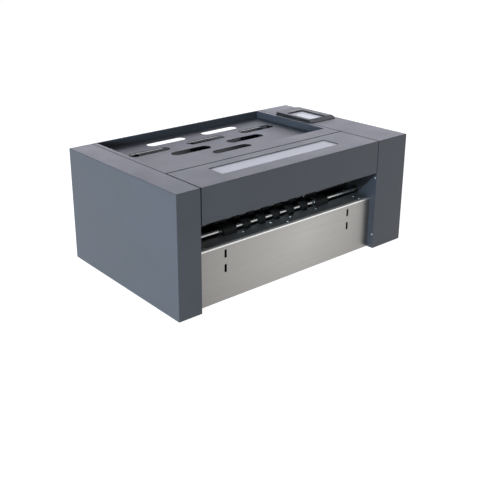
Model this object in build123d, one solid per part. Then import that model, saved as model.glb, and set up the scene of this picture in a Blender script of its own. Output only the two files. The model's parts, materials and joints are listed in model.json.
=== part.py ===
from build123d import *
import math
import os

# Desktop paper creasing machine with a creasing head and a cutting head.
#
# Units are millimetres. X runs across the sheet, Y from the sheet exit (front) to the
# sheet feed (rear) and Z up. The origin lies on the table top under the middle of the
# machine. The sheet comes in at the rear under the top tray, passes the feed rollers,
# the creasing head, the cutting head, the transfer rollers and the exit rollers, and
# leaves over the steel front plate. The bay between the two side covers holds that path.

# ---- Overall size ----
machine_width = 606.0         # over both side covers
machine_depth = 370.0         # front face to rear edge
cover_height = 240.0          # underside to top of the side covers
foot_height = 4.0             # air gap under the covers
left_cover_width = 52.0
right_cover_width = 89.0      # wider, for the drives, the electronics and the display

# ---- Sheet thicknesses ----
cover_sheet = 1.5             # painted steel of covers, hood, tray and base
frame_sheet = 4.0             # steel side frames
guide_sheet = 1.2             # steel sheet of the tables and guides

# ---- Clearances ----
panel_gap = 0.6               # between neighbouring sheet panels
hood_side_gap = 2.3           # open gap between the hood and each side cover
hood_seam_gap = 1.6           # between the hood and the top tray
running_fit = 0.05            # radial, shaft in bearing and pin in hole
slide_fit = 0.15              # each side, head beam in its guides
nip_gap = 0.3                 # between the facing rollers of a pair
part_gap = 0.3                # between pieces that pass each other
overrun = 1.0                 # how far a cutting shape reaches past the face it cuts

# ---- Hood ----
hood_depth = 104.0            # top panel, front to back
fascia_height = 69.0
fascia_return = 10.0          # folded lip along the lower edge of the fascia
hood_rear_flange = 8.0
hinge_setback = 12.0          # hinge axis in front of the hood's rear edge
hinge_drop = 4.0              # hinge axis below the top
hood_pin_radius = 2.0
hood_pin_reach = 2.5          # pin past the inner face of the hood's cheek
stop_pin_setback = 30.0       # where the closed hood rests on its stop pins
cheek_front_depth = 12.0
cheek_rear_height = 14.0
cheek_knee_depth = 60.0
inlay_length = 307.0          # light plate let into the top of the hood
inlay_width = 42.2
inlay_front_margin = 37.7
inlay_overlap = 6.0
inlay_sheet = 1.5

# ---- Side covers ----
cover_top_flange = 14.0
cover_bottom_flange = 20.0
cover_rear_flange = 12.5
jamb_lip = 2.5                # sloping cheek beside the exit mouth
jamb_top_drop = 3.4           # top of the slope below the fascia's lower edge
jamb_tip_rise = 3.5           # tip of the slope above the exit table
jamb_corner_radius = 2.0
cover_outer_radius = 1.0

# ---- Base ----
base_flange = 25.0
foot_radius = 9.0
foot_inset = 45.0
foot_recess_radius = 4.0
foot_recess_depth = 2.0

# ---- Front plate and exit table ----
plate_setback = 16.4          # steel front plate behind the covers' front faces
plate_height = 112.0
plate_bend_radius = 3.0
plate_flange = 13.0
slit_width = 5.5              # paired slits that an output tray hooks into
slit_height = 16.0
slit_spacing = 29.4
slit_inset = 68.0             # from the side covers
slit_top_drop = 10.0
table_edge_lead = 5.0         # rear edge in front of the lower exit shaft's axis
table_pocket_gap = 1.6        # around each roller
table_setback = 3.6           # behind the face of the front plate
channel_height = 20.0
channel_wall = 2.0

# ---- Sheet path ----
exit_axis_setback = 59.0      # lower exit shaft from the front face
shaft_rise = 6.3              # lower exit shaft above the exit table
transfer_lead = 33.7          # transfer shaft behind the exit shaft
transfer_rise = 4.5           # transfer and feed shafts above the exit shaft
shaft_radius = 4.5
roller_radius = 10.4
roller_width = 14.3
roller_pitch = 38.6
roller_count = 5
row_shift = -3.4              # middle of the roller rows from the middle of the bay
pinch_lead = 4.0              # upper shafts lean away from the heads
bearing_radius = 8.5
bearing_length = 5.0
bearing_flange = 1.0
bearing_flange_rim = 0.7
shaft_tail = 1.5              # shaft end past the left frame
pinch_tail = 3.5
block_width = 16.0            # acetal block that carries an upper shaft
block_height = 18.0
block_length = 6.0
spring_space = 12.0           # frame slot above each block
spring_radius = 3.6
spring_wire = 0.8             # radius of the wire
spring_turns = 4
support_offset = 124.2        # shaft supports from the middle of the roller rows
support_width = 31.0
support_depth = 26.0
support_wall = 4.5            # above the shaft
support_crown = 8.0

# ---- Transport drive ----
pulley_radius = 13.0
pulley_width = 8.0
pulley_rim = 1.0
pulley_rim_rise = 2.6
belt_thickness = 1.8
belt_gap = 0.3
drive_standoff = 6.5          # pulleys outside the right side frame
motor_size = 57.0             # square stepping motor
motor_length = 45.0
motor_rise = 56.0
motor_corner = 5.0
motor_bolt_spacing = 47.14
motor_pulley_radius = 8.0
motor_shaft_radius = 3.2
motor_shaft_engagement = 12.0
standoff_radius = 3.0
standoff_length = 24.0

# ---- Creasing and cutting heads ----
cutter_lead = 27.3            # cutting beam behind the transfer shaft
crease_lead = 37.3            # creasing beam in front of the feed shafts
beam_thickness = 18.0
beam_rise = 16.0              # underside above the sheet
beam_cam_gap = 1.1            # between a beam and the lowest point of its eccentrics
cam_axis_drop = 42.0          # camshafts below the top
camshaft_radius = 6.0
eccentric_radius = 12.0
eccentric_width = 8.0
crease_throw = 3.0            # eccentricity, half of the stroke
cutter_throw = 4.0
yoke_slack = 0.27             # share of the throw left free above and below
yoke_wall = 5.0
yoke_half_depth = 22.0
crease_yoke_inset = 49.0      # from the side frames
cutter_yoke_inset = 84.0
cam_bearing_radius = 10.5
guide_depth = 20.0            # head guides, out from the side frames
guide_wall = 5.0
guide_floor = 6.0
guide_margin = 5.0
blade_thickness = 2.0
blade_lift = 2.5              # creasing blade above the sheet at rest
blade_socket = 10.0
knife_thickness = 3.0
knife_lift = 3.0
knife_top_drop = 10.0         # knife plate's top edge below the beam's
knife_shear = 2.0             # the cutting edge slopes by this much
tool_end_gap = 1.0            # between the blades and the head guides
tool_recess = 0.5             # lower tools below the sheet
tool_beam_height = 40.0
tool_beam_wall = 3.0
counter_knife_width = 12.0
die_width = 20.0
die_groove_width = 3.0
die_groove_depth = 4.0
tool_height = 9.5
tool_beam_margin = 5.3        # behind the lower creasing tool
gearmotor_radius = 18.0
gearmotor_gap = 2.0           # the two gear motors set the pitch of the heads
gearmotor_length = 70.0
gearbox_length = 30.0
motor_can_step = 1.0
camshaft_engagement = 18.0

# ---- Feed side ----
feed_table_recess = 0.5       # table below the sheet
feed_table_start = 13.0       # behind the lower feed shaft
rear_setback = 1.5            # table edge in front of the rear face
feed_channel_setback = 55.0   # middle of the rear channel from the rear face
feed_channel_depth = 30.0
feed_channel_height = 28.0
guide_plate_setback = 26.0    # upright of the upper guide from the rear face
guide_plate_rise = 26.0       # flat of the upper guide above the sheet
guide_top_gap = 17.4          # open strip between the upper guide and the tray
guide_lip_gap = 4.6           # between the guide's lip and the upper rollers
guide_lip_run = 23.0
guide_lip_rise = 8.0
sensor_width = 45.0
sensor_pitch = 145.5
sensor_phase = 27.0           # middle sensor from the middle of the bay
sensor_height = 20.0
sensor_depth = 14.0
fence_inset = 72.5            # side guide from the right side cover
fence_front_gap = 11.0        # behind the start of the upper guide's flat
fence_setback = 30.0          # rear end of the side guide from the rear face
fence_height = 16.0
fence_foot = 25.0
fence_sheet = 2.0
fence_slot_width = 6.0
fence_slot_setback = 85.0
fence_slot_inset = 22.5       # from the right side cover
fence_slot_length = 160.0
fence_tongue_inset = 5.0
fence_tongue_length = 15.0
fence_tongue_drop = 2.4

# ---- Top tray ----
tray_ledge = 38.7             # flat strip in front of the recess
tray_lip = 10.0               # rim beside the recess
tray_rear_wall = 3.0
tray_depth = 15.2
tray_skirt = 14.0
seam_radius = 1.2             # bend along the seam between hood and tray, and beside the tray
tray_foot_height = 4.2        # step along the foot of the rear wall
tray_foot_depth = 1.6
slot_length = 98.0
slot_width = 25.0
slot_side_margin = 26.9       # outermost slots to the rims
slot_rear_margin = 38.5       # rearmost row to the rear wall
slot_front_margin = 49.1      # frontmost row to the ledge
slot_rows = ((-1, 1), (-2, 0, 2), (-1, 1), (0,))

# ---- Rear panel and off-cut bin ----
bin_width = 300.0
bin_height = 60.0
bin_wall = 1.2
bin_front_setback = 30.0
bin_rear_setback = 12.0
bin_lip_length = 100.0
bin_lip_reach = 11.0
bin_window_gap = 2.0
rear_flange = 12.0

# ---- Display ----
bezel_length = 125.0
bezel_width = 78.4
bezel_height = 5.5
bezel_rear_setback = 51.8
bezel_inset = 2.6             # from the right cover's face towards the bay
bezel_corner_radius = 9.0
bezel_edge_radius = 1.2
bezel_nose = 1.0              # height left at the front of the bezel's ramp
screen_length = 78.0
screen_width = 50.5
screen_side_margin = 9.4      # from the bezel's left edge
screen_front_margin = 16.0    # length of the bezel's ramp
screen_recess = 3.3
screen_thickness = 4.0
bezel_sleeve = 1.6
bezel_sleeve_depth = 7.5

# ---- Power inlet and switch ----
inlet_width = 27.5
inlet_height = 20.0
inlet_depth = 24.0
inlet_rim = 8.0
inlet_rise = 41.0
inlet_inset = 58.0            # middle of the inlet from the right side face
socket_width = 24.2
socket_height = 16.2
socket_depth = 16.0
pin_blade = 2.0
pin_height = 4.0
pin_length = 10.0
pin_spacing = 14.0
switch_inset = 22.0
switch_width = 16.0
switch_height = 22.0
switch_depth = 16.0
switch_wall = 2.0
rocker_depth = 8.0
rocker_pivot_setback = 6.0
rocker_tilt = 10.0            # degrees either side of level
trunnion_radius = 1.2
trunnion_length = 1.5

# ---- Electronics ----
supply_length = 155.0
supply_height = 98.0
supply_thickness = 38.0
supply_rear_setback = 20.0
supply_rise = 16.0
board_length = 130.0
board_height = 62.0
board_thickness = 1.6
board_rear_setback = 38.0
board_drop = 12.0             # below the cover's top
board_standoff = 6.0
heat_sink_side = 32.0
heat_sink_height = 12.0
board_spacer_radius = 3.0

# ---- Screws ----
screw_radius = 1.5
screw_head_radius = 2.8
screw_head_height = 1.8
jamb_screw_setback = 5.0
jamb_screw_rise = 29.4        # lower screw above the covers' underside
jamb_screw_drop = 13.0        # upper screw below the fascia
table_screw_inset = 23.5      # outermost screws of the exit table from the side covers
table_inner_screws = (-98.0, -27.0, 27.0, 98.0)
table_front_screw_setback = 25.0
table_rear_screw_setback = 41.0

# ---- Derived levels and faces ----
front_y = -machine_depth / 2
rear_y = machine_depth / 2
left_x = -machine_width / 2
right_x = machine_width / 2
base_z = foot_height
top_z = base_z + cover_height
floor_z = base_z + cover_sheet                      # top of the base pan's floor
left_jamb_x = left_x + left_cover_width             # faces of the covers towards the bay
right_jamb_x = right_x - right_cover_width
bay_x = (left_jamb_x + right_jamb_x) / 2
row_x = bay_x + row_shift
left_frame_x = left_jamb_x - cover_sheet            # faces of the frames towards the bay
right_frame_x = right_jamb_x + cover_sheet
left_outer_x = left_frame_x - frame_sheet
right_outer_x = right_frame_x + frame_sheet
bay_half = (right_jamb_x - left_jamb_x) / 2
frame_half = (right_frame_x - left_frame_x) / 2
fascia_low_z = top_z - fascia_height
hood_rear_y = front_y + hood_depth
hinge_y = hood_rear_y - hinge_setback
hinge_z = top_z - hinge_drop
plate_y = front_y + plate_setback
plate_back_y = plate_y + cover_sheet
plate_top_z = base_z + plate_height
table_top_z = plate_top_z + guide_sheet
exit_y = front_y + exit_axis_setback
transfer_y = exit_y + transfer_lead
cutter_y = transfer_y + cutter_lead
crease_y = cutter_y + 2 * gearmotor_radius + gearmotor_gap
feed_y = crease_y + crease_lead
exit_z = table_top_z + shaft_rise
feed_z = exit_z + transfer_rise                     # transfer and feed shafts
sheet_z = feed_z + roller_radius
pinch_rise = math.sqrt((2 * roller_radius + nip_gap) ** 2 - pinch_lead ** 2)
pinch_z = feed_z + pinch_rise
transfer_pinch_y = transfer_y - pinch_lead
feed_pinch_y = feed_y + pinch_lead
lower_axes = ((exit_y, exit_z), (transfer_y, feed_z), (feed_y, feed_z))
pinch_stations = (transfer_pinch_y, feed_pinch_y)
cam_z = top_z - cam_axis_drop
beam_low_z = sheet_z + beam_rise
beam_high_z = cam_z - eccentric_radius - cutter_throw - beam_cam_gap
crease_yoke_offset = frame_half - crease_yoke_inset
cutter_yoke_offset = frame_half - cutter_yoke_inset
tool_length = 2 * (frame_half - guide_depth - tool_end_gap)
tool_top_z = sheet_z - tool_recess
tool_beam_top_z = tool_top_z - tool_height
drive_x = right_outer_x + drive_standoff
motor_y = (exit_y + feed_y) / 2
motor_z = base_z + motor_rise
motor_face_x = right_outer_x + standoff_length
feed_table_z = sheet_z - feed_table_recess
guide_y = rear_y - guide_plate_setback
guide_low_z = sheet_z + guide_plate_rise
guide_lip_y = feed_pinch_y + roller_radius + guide_lip_gap
guide_flat_y = guide_lip_y + guide_lip_run
tray_floor_z = top_z - tray_depth
guide_high_z = tray_floor_z - cover_sheet - guide_top_gap
tray_front_y = hood_rear_y + hood_seam_gap
recess_front_y = tray_front_y + tray_ledge
recess_rear_y = rear_y - tray_rear_wall
fence_x = right_jamb_x - fence_inset
fence_slot_y = rear_y - fence_slot_setback
rear_panel_y = rear_y - cover_sheet
bezel_left_x = right_jamb_x + bezel_inset
bezel_rear_y = rear_y - bezel_rear_setback
bezel_front_y = bezel_rear_y - bezel_length
screen_x = bezel_left_x + screen_side_margin + screen_width / 2
screen_y = bezel_front_y + screen_front_margin + screen_length / 2
screen_z = top_z + bezel_height - screen_recess
inlet_x = right_x - inlet_inset
switch_x = right_x - switch_inset
inlet_z = base_z + inlet_rise
pivot_y = rear_y - rocker_pivot_setback


# ---- Helpers ----
def block(x0, x1, y0, y1, z0, z1):
    """Box between two opposite corners."""
    centre = Pos((x0 + x1) / 2, (y0 + y1) / 2, (z0 + z1) / 2)
    return centre * Box(x1 - x0, y1 - y0, z1 - z0)


def rod(radius, x0, x1, y, z):
    """Cylinder along X."""
    return Pos((x0 + x1) / 2, y, z) * Rot(0, 90, 0) * Cylinder(radius, x1 - x0)


def profile(outline, x0, x1):
    """Plate with a (y, z) outline between two X planes; outline is a closed wire or curve."""
    return extrude(Plane.YZ.offset(x0) * make_face(outline), x1 - x0)


def save(node, *solids):
    """Write one sub-part; a group of like pieces keeps its solids apart."""
    shape = solids[0] if len(solids) == 1 else Compound(children=list(solids))
    shape.label = node
    export_step(shape, f"parts/{node}.step")


def roller_offsets():
    """X positions of the rollers, spread evenly about the middle of their row."""
    middle = (roller_count - 1) / 2
    return [row_x + (i - middle) * roller_pitch for i in range(roller_count)]


def support_offsets():
    return [row_x - support_offset, row_x + support_offset]


def cheek_slope():
    """Upper and lower end of the sloping edge under the hood's cheeks, as (y, z)."""
    upper = (front_y + cheek_knee_depth, top_z - cheek_rear_height)
    lower = (front_y + cheek_front_depth, fascia_low_z)
    return upper, lower


def stop_pin_point():
    """Centre of a pin that the sloping edge of the closed hood rests on."""
    upper, lower = cheek_slope()
    run, rise = upper[0] - lower[0], upper[1] - lower[1]
    length = math.hypot(run, rise)
    y = front_y + stop_pin_setback
    z = lower[1] + rise * (y - lower[0]) / run
    distance = hood_pin_radius + running_fit
    return y + distance * rise / length, z - distance * run / length


def jamb_screw_points():
    """Screws through each cover's flange into its side frame."""
    y = front_y + jamb_screw_setback
    return [(y, base_z + jamb_screw_rise), (y, fascia_low_z - jamb_screw_drop)]


def table_screw_points():
    end = bay_half - table_screw_inset
    front = [(bay_x + x, front_y + table_front_screw_setback) for x in (-end, 0, end)]
    rear = [(bay_x + x, front_y + table_rear_screw_setback) for x in (-end, end)]
    inner = [(row_x + x, front_y + table_rear_screw_setback) for x in table_inner_screws]
    return front + rear + inner


# ---- Base ----
def base_pan():
    """Floor sheet with upturned edges; the rear edge is open where the bin slides out."""
    x0, x1 = left_x + cover_sheet, right_x - cover_sheet
    y0, y1 = plate_back_y, rear_panel_y
    pan = block(x0, x1, y0, y1, base_z, floor_z)
    wall_top = base_z + base_flange
    nose = front_y + cover_sheet
    pan += block(x0, left_frame_x, nose, y0, base_z, floor_z)
    pan += block(right_frame_x, x1, nose, y0, base_z, floor_z)
    pan += block(x0, left_outer_x, nose, nose + cover_sheet, base_z, wall_top)
    pan += block(right_outer_x, x1, nose, nose + cover_sheet, base_z, wall_top)
    bay_low, bay_high = left_jamb_x + panel_gap, right_jamb_x - panel_gap
    pan += block(x0, x0 + cover_sheet, nose, y1, base_z, wall_top)
    pan += block(x1 - cover_sheet, x1, nose, y1, base_z, wall_top)
    pan += block(bay_low, bay_high, y0, y0 + cover_sheet, base_z, wall_top)
    pan += block(bay_low, bay_high, y1 - cover_sheet, y1, base_z, wall_top)
    gap = bin_width / 2 + bin_window_gap
    pan -= block(bay_x - gap, bay_x + gap, y1 - cover_sheet - overrun, y1 + overrun,
                 floor_z, wall_top + overrun)
    return pan


def rubber_feet():
    feet = []
    for x in (left_x + foot_inset, right_x - foot_inset):
        for y in (plate_y + foot_inset, rear_y - foot_inset):
            foot = Pos(x, y, foot_height / 2) * Cylinder(foot_radius, foot_height)
            recess = Pos(x, y, foot_recess_depth / 2)
            feet.append(foot - recess * Cylinder(foot_recess_radius, foot_recess_depth))
    return feet


# ---- Side frames and cross members ----
def side_frame(x0, x1):
    """Steel plate with bearing bores, slots for the sprung blocks and pin holes."""
    plate = block(x0, x1, front_y + cover_sheet + overrun, rear_panel_y - cover_sheet - overrun,
                  floor_z, top_z - cover_sheet - overrun)
    low, high = x0 - overrun, x1 + overrun
    for y, z in lower_axes:
        plate -= rod(bearing_radius + running_fit, low, high, y, z)
    for y in (cutter_y, crease_y):
        plate -= rod(cam_bearing_radius + running_fit, low, high, y, cam_z)
    half = block_width / 2 + running_fit
    for y in pinch_stations:
        plate -= block(low, high, y - half, y + half, pinch_z - block_height / 2,
                       pinch_z + block_height / 2 + spring_space)
    for y, z in ((hinge_y, hinge_z), stop_pin_point()):
        plate -= rod(hood_pin_radius + running_fit, low, high, y, z)
    for y, z in jamb_screw_points():
        plate -= rod(screw_radius + running_fit, low, high, y, z)
    return plate


def exit_channel():
    """Cross channel under the exit table, open to the rear."""
    x0, x1 = left_jamb_x + part_gap, right_jamb_x - part_gap
    y0 = plate_y + plate_flange + overrun
    y1 = exit_y - roller_radius
    z0, z1 = plate_top_z - channel_height, plate_top_z
    channel = block(x0, x1, y0, y1, z0, z1)
    channel -= block(x0 - overrun, x1 + overrun, y0 + channel_wall, y1 + overrun,
                     z0 + channel_wall, z1 - channel_wall)
    for x, y in table_screw_points():
        if y > y0:
            channel -= Pos(x, y, z1) * Cylinder(screw_radius + running_fit, 4 * channel_wall)
    return channel


def tool_beam():
    """Hollow beam between the frames that carries both lower tools."""
    x0, x1 = left_frame_x, right_frame_x
    y0 = cutter_knife_front() + knife_thickness + part_gap
    y1 = crease_y + die_width / 2 + tool_beam_margin
    z0, z1 = tool_beam_top_z - tool_beam_height, tool_beam_top_z
    beam = block(x0, x1, y0, y1, z0, z1)
    wall = tool_beam_wall
    return beam - block(x0 - overrun, x1 + overrun, y0 + wall, y1 - wall, z0 + wall, z1 - wall)


def feed_channel():
    """Cross channel between the frames under the feed table, open below."""
    x0, x1 = left_frame_x, right_frame_x
    middle = rear_y - feed_channel_setback
    y0, y1 = middle - feed_channel_depth / 2, middle + feed_channel_depth / 2
    z1 = feed_table_z - guide_sheet
    z0 = z1 - feed_channel_height
    channel = block(x0, x1, y0, y1, z0, z1)
    return channel - block(x0 - overrun, x1 + overrun, y0 + channel_wall, y1 - channel_wall,
                           z0 - overrun, z1 - channel_wall)


# ---- Front plate and exit table ----
def front_plate():
    """Brushed steel plate, bent back at the top, with two pairs of hooking slits."""
    x0, x1 = left_jamb_x + panel_gap, right_jamb_x - panel_gap
    plate = block(x0, x1, plate_y, plate_back_y, base_z, plate_top_z - plate_bend_radius)
    plate += block(x0, x1, plate_y + plate_bend_radius, plate_y + plate_flange,
                   plate_top_z - cover_sheet, plate_top_z)
    bend_y, bend_z = plate_y + plate_bend_radius, plate_top_z - plate_bend_radius
    bend = rod(plate_bend_radius, x0, x1, bend_y, bend_z)
    bend -= rod(plate_bend_radius - cover_sheet, x0 - overrun, x1 + overrun, bend_y, bend_z)
    plate += bend & block(x0, x1, plate_y, bend_y, bend_z, plate_top_z)
    for x in (left_jamb_x + slit_inset, right_jamb_x - slit_inset):
        for row in range(2):
            top = plate_top_z - slit_top_drop - row * slit_spacing
            plate -= block(x - slit_width / 2, x + slit_width / 2, plate_y - overrun,
                           plate_back_y + overrun, top - slit_height, top)
    for x, y in table_screw_points():
        if y < plate_y + plate_flange:
            plate -= Pos(x, y, plate_top_z) * Cylinder(screw_radius + running_fit, 4 * cover_sheet)
    return plate


def exit_table():
    """Black sheet behind the front plate, notched for the rollers."""
    x0, x1 = left_jamb_x + panel_gap, right_jamb_x - panel_gap
    y0 = plate_y + table_setback
    y1 = exit_y - table_edge_lead
    table = block(x0, x1, y0, y1, plate_top_z, table_top_z)
    reach = roller_radius + table_pocket_gap
    half = roller_width / 2 + table_pocket_gap
    for x in roller_offsets():
        table -= block(x - half, x + half, exit_y - reach, y1 + overrun,
                       plate_top_z - overrun, table_top_z + overrun)
    for x in support_offsets():
        table += block(x - support_width / 2, x + support_width / 2, y1 - overrun,
                       transfer_y + support_depth / 2, plate_top_z, table_top_z)
    for x, y in table_screw_points():
        table -= Pos(x, y, table_top_z) * Cylinder(screw_radius + running_fit, 4 * guide_sheet)
    return table


def shaft_supports():
    """Black blocks on the exit table that steady the exit shaft and the transfer shaft."""
    blocks = []
    for x in support_offsets():
        x0, x1 = x - support_width / 2, x + support_width / 2
        for y, z in lower_axes[:2]:
            piece = block(x0, x1, y - support_depth / 2, y + support_depth / 2,
                          table_top_z, z + shaft_radius + support_wall)
            piece = fillet(piece.edges().filter_by(Axis.X).group_by(Axis.Z)[-1], support_crown)
            piece -= rod(shaft_radius + running_fit, x0 - overrun, x1 + overrun, y, z)
            blocks.append(piece)
    return blocks


# ---- Covers ----
def side_cover(outer_x, jamb_x):
    """Folded cover, open below, with a flanged window towards the bay."""
    x0, x1 = sorted((outer_x, jamb_x))
    inward = math.copysign(1, jamb_x - outer_x)
    cover = block(x0, x1, front_y, rear_y, base_z, top_z)
    lower, upright, upper = cover.edges().group_by(Axis.Z)
    cover = fillet(upright + upper, cover_outer_radius)
    cover -= block(x0 + cover_sheet, x1 - cover_sheet, front_y + cover_sheet,
                   rear_y - cover_sheet, base_z - overrun, top_z - cover_sheet)
    cut0, cut1 = sorted((jamb_x + inward * overrun, jamb_x - inward * (cover_sheet + overrun)))
    y_lip = front_y + jamb_lip
    y_tip = exit_y - bearing_radius - bearing_flange_rim - part_gap
    y_back = rear_y - cover_rear_flange
    z_low, z_high = base_z + cover_bottom_flange, top_z - cover_top_flange
    window = FilletPolyline(
        (y_lip, fascia_low_z - jamb_top_drop), (y_tip, table_top_z + jamb_tip_rise),
        (y_tip, z_low), (y_back, z_low), (y_back, z_high), (y_lip, z_high),
        radius=jamb_corner_radius, close=True)
    cover -= profile(window, cut0, cut1)
    cover -= block(cut0, cut1, plate_back_y - panel_gap, rear_y - cover_sheet,
                   base_z - overrun, floor_z + panel_gap)
    cover -= rod(hood_pin_radius + part_gap, cut0, cut1, hinge_y, hinge_z)
    for y, z in jamb_screw_points():
        cover -= rod(screw_radius + running_fit, cut0, cut1, y, z)
    return cover


def left_cover():
    return side_cover(left_x, left_jamb_x)


def right_cover():
    """Right cover with the display opening, the inlet opening and the switch opening."""
    cover = side_cover(right_x, right_jamb_x)
    half_x = screen_width / 2 + bezel_sleeve + part_gap
    half_y = screen_length / 2 + bezel_sleeve + part_gap
    cover -= block(screen_x - half_x, screen_x + half_x, screen_y - half_y, screen_y + half_y,
                   top_z - cover_sheet - overrun, top_z + overrun)
    for x, width, height in ((inlet_x, inlet_width, inlet_height),
                             (switch_x, switch_width, switch_height)):
        cover -= block(x - width / 2 - running_fit, x + width / 2 + running_fit,
                       rear_panel_y - overrun, rear_y + overrun,
                       inlet_z - height / 2 - running_fit, inlet_z + height / 2 + running_fit)
    return cover


def rear_panel():
    """Panel between the covers below the feed table, open where the bin slides out."""
    x0, x1 = left_jamb_x + panel_gap, right_jamb_x - panel_gap
    z1 = feed_table_z - guide_sheet
    panel = block(x0, x1, rear_panel_y, rear_y, base_z, z1)
    panel += block(x0, x1, rear_panel_y - rear_flange, rear_y, z1 - cover_sheet, z1)
    gap = bin_width / 2 + bin_window_gap
    return panel - block(bay_x - gap, bay_x + gap, rear_panel_y - overrun, rear_y + overrun,
                         base_z - overrun, floor_z + bin_height + 2 * bin_window_gap)


# ---- Top tray ----
def tray_slots():
    """Rounded slots in staggered rows, rearmost row first."""
    floor_half = bay_half - panel_gap - tray_lip
    column_pitch = (floor_half - slot_side_margin - slot_length / 2) / 2
    first_y = recess_rear_y - slot_rear_margin
    last_y = recess_front_y + slot_front_margin
    row_pitch = (first_y - last_y) / (len(slot_rows) - 1)
    places = []
    for row, columns in enumerate(slot_rows):
        y = first_y - row * row_pitch
        places += [(bay_x + column * column_pitch, y) for column in columns]
    return places


def on_tray_outline(point):
    """True on the tray's front, left and right outer edges, which face its neighbours."""
    side = bay_half - panel_gap
    near = seam_radius / 2
    return point.Y < tray_front_y + near or abs(abs(point.X - bay_x) - side) < near


def top_tray():
    """Pressed tray behind the hood: ledge, rims, recessed floor with slots, rear wall."""
    x0, x1 = left_jamb_x + panel_gap, right_jamb_x - panel_gap
    y0, y1 = tray_front_y, rear_y
    inner_x0, inner_x1 = x0 + tray_lip, x1 - tray_lip
    inner_y0, inner_y1 = recess_front_y, recess_rear_y
    floor_low = tray_floor_z - cover_sheet
    tray = block(x0, x1, y0, y1, top_z - cover_sheet, top_z)
    tray += block(inner_x0 - cover_sheet, inner_x1 + cover_sheet, inner_y0 - cover_sheet, y1,
                  floor_low, top_z)
    tray += block(x0, x1, inner_y1, y1, floor_low, top_z)
    tray -= block(inner_x0, inner_x1, inner_y0, inner_y1, tray_floor_z, top_z + overrun)
    tray += block(inner_x0, inner_x1, inner_y1 - tray_foot_depth, inner_y1,
                  tray_floor_z, tray_floor_z + tray_foot_height)
    skirt_z = top_z - tray_skirt
    tray += block(x0, x1, y0, y0 + cover_sheet, skirt_z, top_z)
    tray += block(x0, x0 + cover_sheet, y0, y1, skirt_z, top_z)
    tray += block(x1 - cover_sheet, x1, y0, y1, skirt_z, top_z)
    rim = tray.edges().filter_by(GeomType.LINE).group_by(Axis.Z)[-1]
    outer = [edge for edge in rim if on_tray_outline(edge.center())]
    tray = fillet(outer, seam_radius)
    for x, y in tray_slots():
        slot = Plane.XY.offset(floor_low - overrun) * Pos(x, y) * SlotOverall(slot_length, slot_width)
        tray -= extrude(slot, cover_sheet + 2 * overrun)
    return tray


# ---- Hood ----
def inlay_corners():
    """Opening in the hood's top: X range, then Y range."""
    middle = (left_jamb_x + right_jamb_x) / 2
    y0 = front_y + inlay_front_margin
    return middle - inlay_length / 2, middle + inlay_length / 2, y0, y0 + inlay_width


def hood_shell():
    """L-shaped hood with end cheeks that turn on the hinge pins."""
    x0, x1 = left_jamb_x + hood_side_gap, right_jamb_x - hood_side_gap
    hood = block(x0, x1, front_y, hood_rear_y, top_z - cover_sheet, top_z)
    hood += block(x0, x1, front_y, front_y + cover_sheet, fascia_low_z, top_z)
    hood += block(x0, x1, front_y, front_y + fascia_return, fascia_low_z,
                  fascia_low_z + cover_sheet)
    hood += block(x0, x1, hood_rear_y - cover_sheet, hood_rear_y,
                  top_z - hood_rear_flange, top_z)
    cheek_outline = Polyline(
        (front_y, fascia_low_z), (front_y, top_z), (hood_rear_y, top_z),
        (hood_rear_y, top_z - hood_rear_flange), *cheek_slope(), close=True)
    for x in (x0, x1 - cover_sheet):
        hood += profile(cheek_outline, x, x + cover_sheet)
    top_edges = hood.edges().filter_by(Axis.X).group_by(Axis.Z)[-1].group_by(Axis.Y)
    hood = fillet(top_edges[0], cover_outer_radius)
    rear_edge = hood.edges().filter_by(Axis.X).group_by(Axis.Z)[-1].group_by(Axis.Y)[-1]
    hood = fillet(rear_edge, seam_radius)
    hood -= rod(hood_pin_radius + running_fit, x0 - overrun, x1 + overrun, hinge_y, hinge_z)
    ix0, ix1, iy0, iy1 = inlay_corners()
    return hood - block(ix0, ix1, iy0, iy1, top_z - cover_sheet - overrun, top_z + overrun)


def hood_inlay():
    """Light plate held under the opening in the hood's top."""
    x0, x1, y0, y1 = inlay_corners()
    edge = inlay_overlap
    z1 = top_z - cover_sheet
    return block(x0 - edge, x1 + edge, y0 - edge, y1 + edge, z1 - inlay_sheet, z1)


def hood_pins():
    """Hinge pins through the hood's cheeks, and stop pins that the closed hood rests on."""
    reach = hood_side_gap + cover_sheet + hood_pin_reach
    pins = []
    for y, z in ((hinge_y, hinge_z), stop_pin_point()):
        pins.append(rod(hood_pin_radius, left_outer_x, left_jamb_x + reach, y, z))
        pins.append(rod(hood_pin_radius, right_jamb_x - reach, right_outer_x, y, z))
    return pins


# ---- Rollers, shafts and bearings ----
def flanged_bearing(outer, bore, face_x, outward, y, z):
    """Bearing in a side frame; its thin flange stands on the bay side of the frame."""
    back_x = face_x + outward * (bearing_length - bearing_flange)
    lip_x = face_x - outward * bearing_flange
    body0, body1 = sorted((face_x, back_x))
    lip0, lip1 = sorted((lip_x, face_x))
    ring = rod(outer, body0, body1, y, z) + rod(outer + bearing_flange_rim, lip0, lip1, y, z)
    return ring - rod(bore, lip0 - bearing_length * 2, lip1 + bearing_length * 2, y, z)


def shaft_bearings():
    bearings = []
    for face_x, outward in ((left_frame_x, -1), (right_frame_x, 1)):
        for y, z in lower_axes:
            bearings.append(flanged_bearing(bearing_radius, shaft_radius + running_fit,
                                            face_x, outward, y, z))
        for y in (cutter_y, crease_y):
            bearings.append(flanged_bearing(cam_bearing_radius, camshaft_radius + running_fit,
                                            face_x, outward, y, cam_z))
    return bearings


def pinch_block_spans():
    """X ranges of the sliding blocks, one in each side frame."""
    overhang = (block_length - frame_sheet) / 2
    return ((left_outer_x - overhang, left_frame_x + overhang),
            (right_frame_x - overhang, right_outer_x + overhang))


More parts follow.
